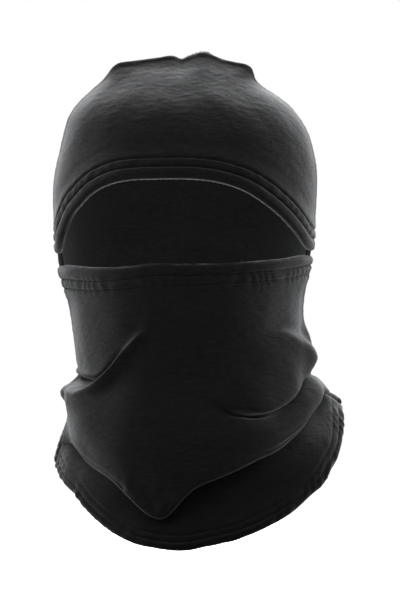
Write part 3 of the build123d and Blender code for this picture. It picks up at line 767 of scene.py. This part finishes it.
def hood_back(side, first, last):
    """Left or right half of the back, from the neck hem to the crown seam."""
    azimuths = seam_columns(first, last)
    cloth = crown_shape(np.stack([edge_to_seam(back_meridian(a), 150) for a in azimuths], 1))
    normal = normals(cloth)
    low_part = smooth(215, 200, cloth[..., 2])[..., None]
    normal = unit(normal * (1 - low_part) + square_to_seam(normal, azimuths) * low_part)
    d_hem = distance(cloth, cloth[0])
    d_seam = distance(cloth, cloth[:, 0], cloth[-1], cloth[:, -1])
    outer, inner = neck_hem_layers(cloth, normal, d_hem, d_seam, wavelength=15.0,
                                   ruffle_height=0.8)
    build(f"hood_back_{side}_cloth", *shell(outer, inner), "fleece_hood",
          f"hood_back_{side}_panel")
    return Panel(cloth, normal, outer, d_hem)


# ------------------------------------------------------------------ mask
def mask_column(azimuth, fold_z, fold_out):
    """Face of the folded mask at one azimuth, lower edge to top, before it meets the seam."""
    degrees = math.degrees(azimuth)
    z = np.linspace(190, 216, 500)
    z_top = z[first_above(MASK_TOP, mask_base(azimuth, z)[:, 0], z)]
    z = np.linspace(14, 125, 900)
    push = np.interp(z, fold_z[::-1], fold_out[::-1])
    x = mask_base(azimuth, z)[:, 0] + math.sin(azimuth) * push
    # near the right seam the lower edge keeps above a set height
    z_low = max(z[first_above(DRAPE, x, z)],
                np.interp(degrees, [70, 76, 82, 90], [0, 107, 110.5, 113.5]))
    gap = 0.4 + 12 * smooth(30, 18, abs(degrees))
    fold_z = fold_z.copy()
    fold_z[-1] = max(fold_z[-1], z_low + gap)
    fold_z[-2] = max(fold_z[-2], fold_z[-1] + gap)
    knots_z = np.concatenate([[z_low, z_low + 0.35 * (fold_z[-1] - z_low)], fold_z[::-1],
                              [z_top - 24, z_top - 10, z_top]])
    knots_out = np.concatenate([fold_out[-1] * np.array([0.8, 0.97]), fold_out[::-1], [0, 0, 0]])
    knots = np.arange(len(knots_z), dtype=float)
    u = np.linspace(0, len(knots) - 1, 1100)
    push = hermite(knots, knots_out, u)
    return mask_base(azimuth, hermite(knots, knots_z, u)) + outward(azimuth) * push[:, None]


def meet_seam(column, azimuth):
    """Bring a mask column near +-90 degrees onto the side seam of the back panels."""
    side = 1 if azimuth > 0 else -1
    share = smooth(80, 90, abs(math.degrees(azimuth)))
    z = column[:, 2]
    base_x = mask_base(math.radians(90 * side), z)[:, 0]
    column[:, 0] += share * (side_at(side, z, 0) - base_x)
    column[:, 1] += share * side_at(side, z, 1)


def mask_tuck(azimuth, edge, share):
    """Cloth under the lower edge: down inside the mask, then curling out to the edge."""
    out, up = outward(azimuth), np.array([0, 0, 1.0])
    radius = max(ROLL_RADIUS * share, 0.75)
    aside = smooth(38, 60, abs(math.degrees(azimuth)))
    centre = edge - out * radius
    rise = np.linspace(30 - 18 * aside, 3, 14)[:, None] * (0.25 + 0.75 * share)
    run = centre - out * radius + up * rise - out * (rise * (0.12 + 0.6 * aside) * share)
    phi = np.linspace(math.pi, 0, 16)[:-1, None]
    curl = centre + out * radius * np.cos(phi) - up * radius * np.sin(phi)
    return np.concatenate([run, curl])


def face_mask():
    """Build the mask and its top hem; returns the grid of the face."""
    azimuths = seam_columns(-90, 90, 1.0)
    degrees = np.degrees(azimuths)
    fold_z, fold_out = (
        np.stack([hermite(FOLD_AZIMUTHS, FOLDS[:, k, part], degrees)
                  for k in range(FOLDS.shape[1])], 1) for part in (0, 1))
    columns = []
    for j, azimuth in enumerate(azimuths):
        column = mask_column(azimuth, fold_z[j], fold_out[j])
        meet_seam(column, azimuth)
        length = arc(column)[-1]
        middle = np.linspace(12.0, length - EDGE_ROWS[-1], 170)[1:-1]
        columns.append(resample(column, np.concatenate(
            [MASK_LOW_ROWS, middle, length - EDGE_ROWS[::-1]])))
    face = np.stack(columns, 1)
    tuck_share = smooth(90, 76, np.abs(degrees))
    tuck = np.stack([mask_tuck(a, face[0, j], tuck_share[j])
                     for j, a in enumerate(azimuths)], 1)
    n_tuck = len(tuck)
    cloth = np.concatenate([tuck, face], 0)
    normal = normals(cloth)
    normal[n_tuck:] = square_to_seam(normal[n_tuck:], azimuths)
    d_top = distance(cloth, face[-1])
    d_side = distance(cloth, face[:, 0], face[:, -1])

    # the stitch rows come closer to the top edge toward the right
    row_1 = 8.45 - 0.0163 * cloth[..., 0]
    row_2 = row_1 + 6.9
    on_face = np.zeros(cloth.shape[:2])
    on_face[n_tuck:] = 1.0
    relief = nap(cloth) * (0.35 + 0.65 * on_face)
    relief += (hem_relief(d_top, (row_1, row_2), 0.75) * (1 - smooth(24, 26, d_top))
               * (0.25 + 0.75 * smooth(0, 9, d_side)))
    relief += 0.34 * wave_round(cloth, 10.0, 2.2) * bell(d_top, 12.5, 6.0)
    relief += seam_relief(d_side) * on_face
    relief += 0.6 * ripple(cloth) * smooth(60, 30, cloth[..., 2]) * on_face
    thickness = CLOTH + TURNED_EXTRA * (1 - smooth(row_2, row_2 + 0.8, d_top))
    # the tuck thins out toward the side seams
    thin = np.maximum(tuck_share, 0.08)
    thickness[:n_tuck] *= 0.4 * thin
    relief[:n_tuck] *= thin
    outer, inner = layers(cloth, normal, relief, thickness, rounding(d_top, EDGE_RADIUS),
                          inner_nap=0.25)
    in_hem = np.median(d_top[n_tuck:], axis=1) < np.median(row_2)
    split = int(np.argmax(in_hem)) + n_tuck
    build("mask_cloth", *shell(outer[:split + 1], inner[:split + 1]), "fleece_mask",
          "face_mask_panel", "mask")
    build("mask_top_hem_cloth", *shell(outer[split:], inner[split:]), "fleece_mask",
          "mask_top_hem", "mask")
    for label, row in (("mask_hem_stitch_upper", row_1), ("mask_hem_stitch_lower", row_2)):
        # grids are reversed so the row is met coming down from the top
        path = row_path(outer[::-1], normal[::-1], (d_top - row)[::-1], 0.0)
        build_thread(label + "_thread", dashes([path]), label, "mask")
    return face


# ------------------------------------------------------------------ neck front
def neck_front():
    """Bib at the front of the neck, from its hem to the throat seam."""
    azimuths = seam_columns(-90, 90, 1.2)
    hem_rows = EDGE_ROWS[EDGE_ROWS < 18.5]
    columns = []
    for azimuth in azimuths:
        w_hem, _ = neck_hem_front(azimuth)
        points, _ = neck(azimuth, np.linspace(w_hem, 57.0, 400), NECK_FRONT)
        upper = np.linspace(hem_rows[-1], arc(points)[-1], 46)[1:]
        columns.append(resample(points, np.concatenate([hem_rows, upper])))
    cloth = np.stack(columns, 1)
    degrees = np.degrees(azimuths)
    # each side follows the side seam, then slips 4 mm inside it above z_tuck
    for side, edge, z_tuck in ((-1, 0, 81.0), (1, -1, 113.0)):
        x, y, z = cloth[:, edge].T
        share = smooth(66, 90, np.abs(degrees)) * (np.sign(degrees) == side)
        fade = 1 - smooth(z_tuck - 2, z_tuck + 12, z)
        dx = (side_at(side, z, 0) - x) * fade - side * 4.0 * smooth(z_tuck - 2, z_tuck + 6, z)
        dy = (side_at(side, z, 1) - y) * fade
        cloth[..., 0] += dx[:, None] * share
        cloth[..., 1] += dy[:, None] * share
    normal = square_to_seam(normals(cloth), azimuths)
    d_hem = distance(cloth, cloth[0])
    d_side = distance(cloth, cloth[:, 0], cloth[:, -1])
    outer, inner = neck_hem_layers(cloth, normal, d_hem, d_side, wavelength=13.0,
                                   ruffle_height=0.85)
    # the neck front takes the darker fleece copy that paints the shadow under the mask
    build("neck_front_cloth", *shell(outer, inner), "fleece_neck", "neck_front_panel")
    return Panel(cloth, normal, outer, d_hem)


# ------------------------------------------------------------------ threads and small pieces
def neck_threads(bib, right, left):
    """Two rows round the neck hem, joined by rungs at the front right; the throat seam."""
    lower, upper = ([panel_row(panel, row) for panel in (bib, right, left)]
                    for row in NECK_ROWS)
    rung_rows = []
    for points, ups in (lower[0], upper[0]):
        start = int(np.argmax(points[:, 0] > 62))
        rung_rows.append((points[start:], ups[start:]))
    build_thread("neck_hem_stitch_lower_thread", dashes(lower) + rungs(*rung_rows),
                 "neck_hem_stitch_lower")
    build_thread("neck_hem_stitch_upper_thread", dashes(upper), "neck_hem_stitch_upper")
    throat, up = bib.cloth[-3], bib.normal[-3]
    build_thread("throat_seam_stitching", dashes([(throat + up, up)]), "throat_seam_thread")


def seam_thread(seam, points, ups):
    """Stitches lying in the valley of a seam."""
    build_thread(seam + "_stitching", dashes([(points + ups * SEAM_VALLEY, ups)]),
                 seam + "_thread")


def crown_thread(front):
    """Up the left edge of the front, across its top and down the right edge."""
    cloth, normal = front.cloth, front.normal
    line = np.concatenate([cloth[:, 0], cloth[-1], cloth[::-1, -1]])
    ups = np.concatenate([normal[:, 1], normal[-2], normal[::-1, -2]])
    ups[:, 1] = 0
    # drop the corner points that repeat
    keep = np.concatenate([[True], np.linalg.norm(np.diff(line, axis=0), axis=1) > 1e-4])
    seam_thread("crown_seam", line[keep], unit(ups[keep]))


def centre_back_thread(right):
    ups = right.normal[:, -2].copy()
    ups[:, 0] = 0
    seam_thread("centre_back_seam", right.cloth[:, -1], unit(ups))


def side_threads(face):
    """Side seams of the mask and the bartack across the top of each."""
    bar_count, bar_z, bar_pitch = 11, 191.5, 1.15
    bar_half, bar_slant, bar_depth = 2.3, 0.5, 0.15
    for side, label, column, z_low in ((-1, "left", 0, 84), (1, "right", -1, 118)):
        line = face[:, column]
        line = line[(line[:, 2] > z_low) & (line[:, 2] < 202)]
        seam_thread(label + "_side_seam", line, np.tile([float(side), 0, 0], (len(line), 1)))
        bars = []
        for k in range(bar_count):
            z = bar_z + bar_pitch * k
            x = side_at(side, z, 0) - side * bar_depth
            dz = bar_slant if k % 2 else -bar_slant
            bars.append((np.array([[x, -bar_half, z - dz], [x, bar_half, z + dz]]),
                         np.array([[side, 0, 0]] * 2, float)))
        build_thread(label + "_corner_bartack_stitching",
                     dashes(bars, pitch=4.5, length=4.5, radius=0.42),
                     label + "_corner_bartack")


def brow_elastic(front):
    """Crimped band inside the brow hem."""
    rows = np.flatnonzero((EDGE_ROWS > 2.3) & (EDGE_ROWS < 7.0))
    lane = front.cloth[rows, 3:-3]
    normal = front.normal[rows, 3:-3]
    crimp = 0.25 * np.sin(arc(lane, 1) * 2 * np.pi / 3.2)
    outer, inner = (lane + normal * (depth + crimp)[..., None] for depth in (-1.0, -2.1))
    build("brow_hem_elastic_band", *shell(outer, inner), "elastic", "brow_hem_elastic")


def care_label():
    """Slightly curled tag inside the back."""
    half_width, height, half_thickness = 12, 30, 0.2
    back_y, low_z = 58.6, 106.0
    u, v = np.meshgrid(np.linspace(-half_width, half_width, 41), np.linspace(0, height, 51))
    bend = 0.9 * np.cos(u / half_width * 1.2) - 1.1 * (v / height) ** 2
    bend += 0.18 * np.sin(u * 0.9 + v * 0.35)
    tag = np.stack([u, back_y - bend, low_z + v], -1)
    half = np.array([0.0, half_thickness, 0.0])
    build("care_label_tag", *shell(tag - half, tag + half), "label", "care_label")


# ------------------------------------------------------------------ stage, light and camera
def pale_floor(radius=4.0, z=-0.003, corners=48):
    """Disc that looks white to the camera but bounces little light onto the fleece."""
    white, dim = (0.93, 0.93, 0.93, 1), (0.3, 0.3, 0.3, 1)
    material = new_material("pale_floor")
    tree = material.node_tree
    seen = add_node(tree, "LightPath").outputs["Is Camera Ray"]
    bsdf = tree.nodes["Principled BSDF"]
    feed(tree, bsdf, {"Base Color": white, "Roughness": 0.9, "Specular IOR Level": 0.1,
                      "Emission Color": (1, 1, 1, 1),
                      "Emission Strength": add_math(tree, "MULTIPLY", seen, 0.9)})
    shade = add_node(tree, "Mix", {6: dim, 7: white, 0: seen}, data_type="RGBA")
    feed(tree, bsdf, {"Base Color": shade.outputs[2]})
    turns = [k / corners * 2 * math.pi for k in range(corners)]
    mesh = bpy.data.meshes.new("pale_floor")
    mesh.from_pydata([(radius * math.cos(t), radius * math.sin(t), z) for t in turns], [],
                     [tuple(range(corners))])
    mesh.polygons.foreach_set("use_smooth", [True])
    floor = bpy.data.objects.new("pale_floor", mesh)
    bpy.context.scene.collection.objects.link(floor)
    mesh.materials.append(material)


# Name, place, aim, (width, height), watts
AREA_LIGHTS = [
    ("top_back", (0.0, 1.1, 1.0), (0.0, 0.0, 0.30), (1.6, 0.8), 75),
    ("left_rim", (-1.15, 0.5, 0.4), (0.0, 0.0, 0.18), (0.5, 1.2), 10),
    ("right_rim", (1.15, 0.5, 0.4), (0.0, 0.0, 0.18), (0.5, 1.2), 10),
    ("upper_left", (-1.0, -0.5, 0.9), (0.0, -0.05, 0.15), (0.5, 0.5), 1.9),
    ("upper_right", (1.1, -0.3, 0.9), (0.0, -0.05, 0.15), (0.5, 0.5), 1.1),
    ("front_fill", (0.1, -2.2, 0.5), (0.0, 0.0, 0.15), (1.6, 1.0), 2.0),
    ("top_front", (-0.15, -0.9, 1.35), (0.0, -0.05, 0.14), (0.7, 0.5), 3.4),
]


def add_light(name, kind, place, watts):
    light = bpy.data.lights.new(name, kind)
    light.energy = watts
    ob = bpy.data.objects.new(name, light)
    ob.location = place
    ob.visible_camera = False
    bpy.context.scene.collection.objects.link(ob)
    return light, ob


def add_lights():
    for name, place, aim, size, watts in AREA_LIGHTS:
        light, ob = add_light(name, "AREA", place, watts)
        light.shape = "RECTANGLE"
        light.size, light.size_y = size
        ray = mathutils.Vector(aim) - mathutils.Vector(place)
        ob.rotation_euler = ray.to_track_quat("-Z", "Y").to_euler()
    glow, _ = add_light("inside_glow", "POINT", (0.0, -0.02, 0.235), 0.28)
    glow.shadow_soft_size = 0.03


def studio_world():
    """White to the camera; as light, dim from the front and brighter from the back."""
    white = (1, 1, 1, 1)
    world = bpy.data.worlds.new("studio")
    bpy.context.scene.world = world
    world.use_nodes = True
    tree = world.node_tree
    lighting = tree.nodes["Background"]
    seen = add_node(tree, "LightPath").outputs["Is Camera Ray"]
    backdrop = add_node(tree, "Background", {0: white, 1: 1.0})
    way = add_node(tree, "TexCoord").outputs["Generated"]
    split = add_node(tree, "SeparateXYZ", {0: way})
    strength = add_node(tree, "MapRange", {
        "From Min": -0.6, "From Max": 0.9, "To Min": 0.13, "To Max": 0.55,
        "Value": split.outputs["Y"]})
    feed(tree, lighting, {0: white, 1: strength.outputs[0]})
    mixer = add_node(tree, "MixShader", {
        0: seen, 1: lighting.outputs[0], 2: backdrop.outputs[0]})
    feed(tree, tree.nodes["World Output"], {0: mixer.outputs[0]})


def add_camera(away=10.0, view_height=0.435, sensor=36.0):
    """Long lens straight at the front; view_height is what it frames at the origin."""
    camera = bpy.data.cameras.new("camera")
    camera.sensor_fit = "VERTICAL"
    camera.sensor_height = sensor
    camera.lens = sensor * away / view_height
    camera.clip_end = 100.0
    eye = bpy.data.objects.new("camera", camera)
    eye.location = (0.0123, -away, 0.179)
    eye.rotation_euler = (math.pi / 2, 0, 0)
    bpy.context.scene.collection.objects.link(eye)
    bpy.context.scene.camera = eye


# ------------------------------------------------------------------ build
make_materials()
front_panel = hood_front()
right_panel = hood_back("right", 90, 180)
left_panel = hood_back("left", 180, 270)
mask_face = face_mask()
bib_panel = neck_front()
neck_threads(bib_panel, right_panel, left_panel)
crown_thread(front_panel)
centre_back_thread(right_panel)
side_threads(mask_face)
brow_elastic(front_panel)
care_label()

pale_floor()
add_lights()
studio_world()
bpy.context.scene.view_settings.view_transform = "Standard"
add_camera()
